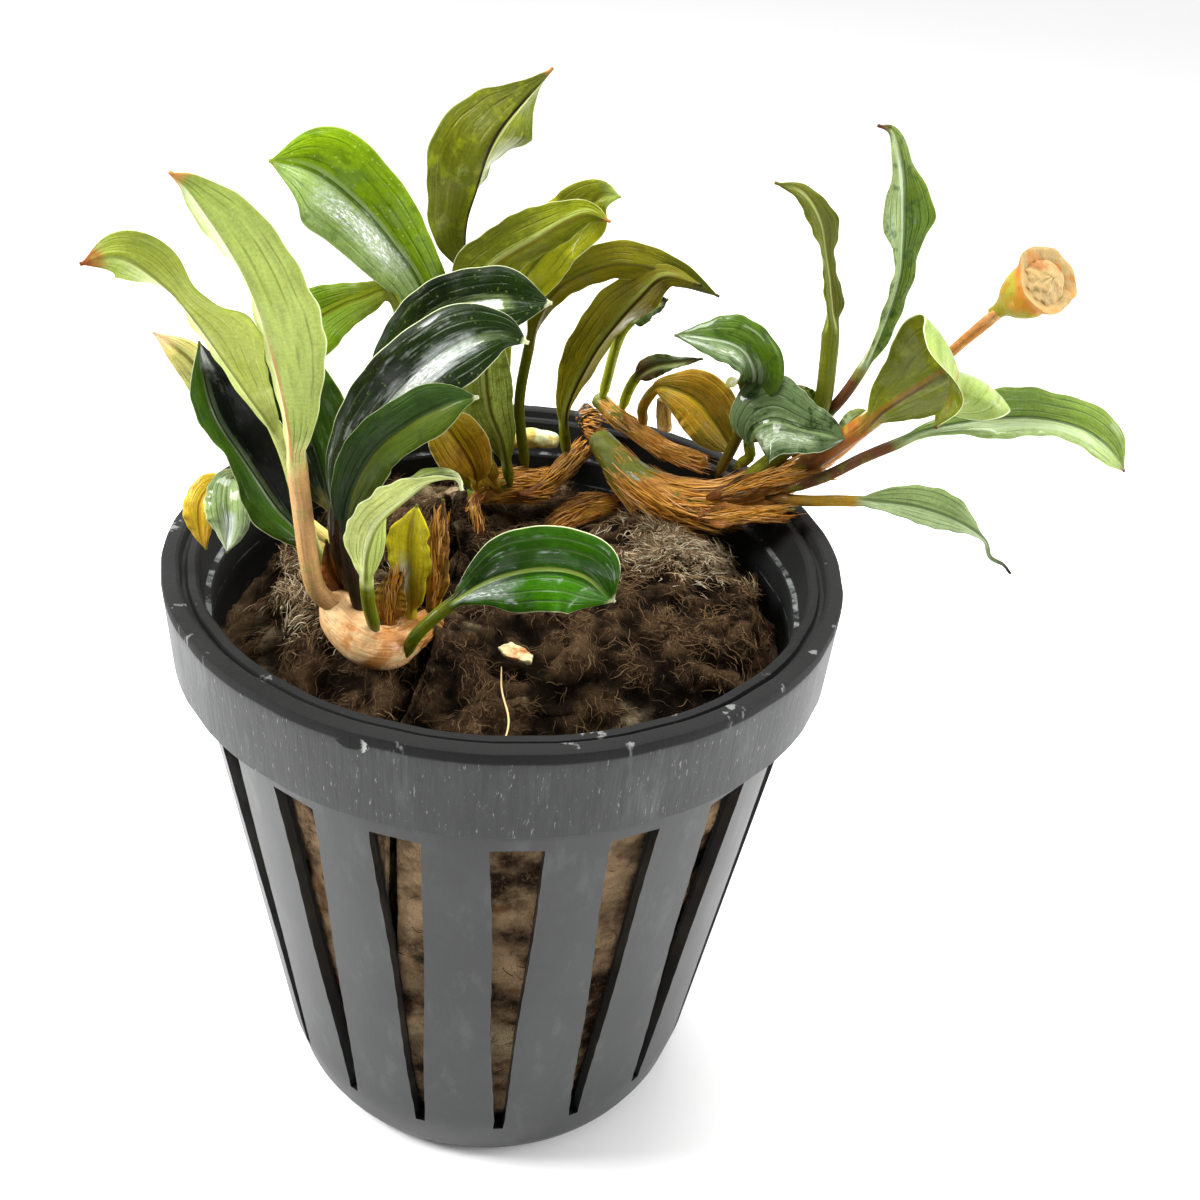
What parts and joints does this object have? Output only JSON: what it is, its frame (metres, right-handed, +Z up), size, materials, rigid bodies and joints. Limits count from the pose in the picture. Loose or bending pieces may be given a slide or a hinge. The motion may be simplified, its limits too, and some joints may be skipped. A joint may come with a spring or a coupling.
{
  "type": "potted bucephalandra plant",
  "caption": "Small rosette aquarium plant with glossy wavy leaves, creeping stems and a spent flower, growing in mineral wool in a slotted net pot.",
  "frame": {"origin": "centre of the flat underside of the pot, on the surface that the pot stands on", "axes": "+Z up along the pot's axis, +X to the side that the long shoot leans out to, +Y to the back of the pot"},
  "size_m": [0.0725, 0.05, 0.0821],
  "materials": {
    "pot": "black moulded plastic, worn grey, with fine upright scratches",
    "wool": "brown mineral wool with paler fibres",
    "stem": "brown and olive creeping stem",
    "cream_stem": "cream and orange young stem",
    "broken_end": "dark rotten stem end",
    "sheath": "dry fibrous brown sheath",
    "root": "brown root",
    "pale_leaf": "pale green leaf underside",
    "dark_leaf": "dark green glossy leaf",
    "bright_leaf": "bright green glossy leaf",
    "olive_leaf": "olive green leaf",
    "yellow_leaf": "yellowing leaf",
    "flower": "ochre spent flower and its stalk",
    "chip": "cream bark chip"
  },
  "bodies": {
    "root": {"pot": "pot", "wool_left": "wool", "wool_right": "wool", "bark_chip": "chip", "flower_cup": "flower", "flower_spadix": "sheath", "broken_stem_end": "broken_end", "rhizome_left": "cream_stem", "rhizome_centre": "stem", "rhizome_right_lower": "stem", "rhizome_right_upper": "stem", "rhizome_link": "root", "stem_back": "yellow_leaf", "root_flat": "root", "root_centre": "root", "root_right": "root", "cut_stalk_right": "sheath", "flower_stalk": "flower", "sheath_left_brown": "sheath", "sheath_left_torn": "sheath", "sheath_left_inner": "sheath", "sheath_left_yellow": "yellow_leaf", "sheath_centre_yellow": "yellow_leaf", "sheath_right_low": "sheath", "sheath_right_fibrous": "sheath", "bract_right": "olive_leaf", "leaf_left_tall": "pale_leaf", "leaf_left_arching": "pale_leaf", "leaf_left_dark_broad": "dark_leaf", "leaf_left_hidden": "olive_leaf", "leaf_left_short_grey": "dark_leaf", "leaf_left_short_yellow": "yellow_leaf", "leaf_left_dark_back": "dark_leaf", "leaf_left_glossy": "dark_leaf", "leaf_left_glossy_back": "dark_leaf", "leaf_left_green_inner": "bright_leaf", "leaf_left_small_curled": "pale_leaf", "leaf_front_glossy": "bright_leaf", "leaf_centre_bright": "bright_leaf", "leaf_centre_low_yellow": "yellow_leaf", "leaf_centre_tall": "olive_leaf", "leaf_centre_mid": "yellow_leaf", "leaf_centre_yellow_back": "yellow_leaf", "leaf_centre_arch_back": "olive_leaf", "leaf_centre_arch_front": "olive_leaf", "leaf_centre_upright": "olive_leaf", "leaf_centre_old_yellow": "yellow_leaf", "leaf_back_hanging": "dark_leaf", "leaf_back_narrow": "dark_leaf", "leaf_right_drooping": "dark_leaf", "leaf_right_heart": "dark_leaf", "leaf_right_old_yellow": "yellow_leaf", "leaf_right_twisted": "olive_leaf", "leaf_right_upright": "bright_leaf", "leaf_right_folded": "bright_leaf", "leaf_right_long": "bright_leaf", "leaf_right_low": "bright_leaf", "leaf_right_fragment": "bright_leaf"}
  },
  "joints": []
}
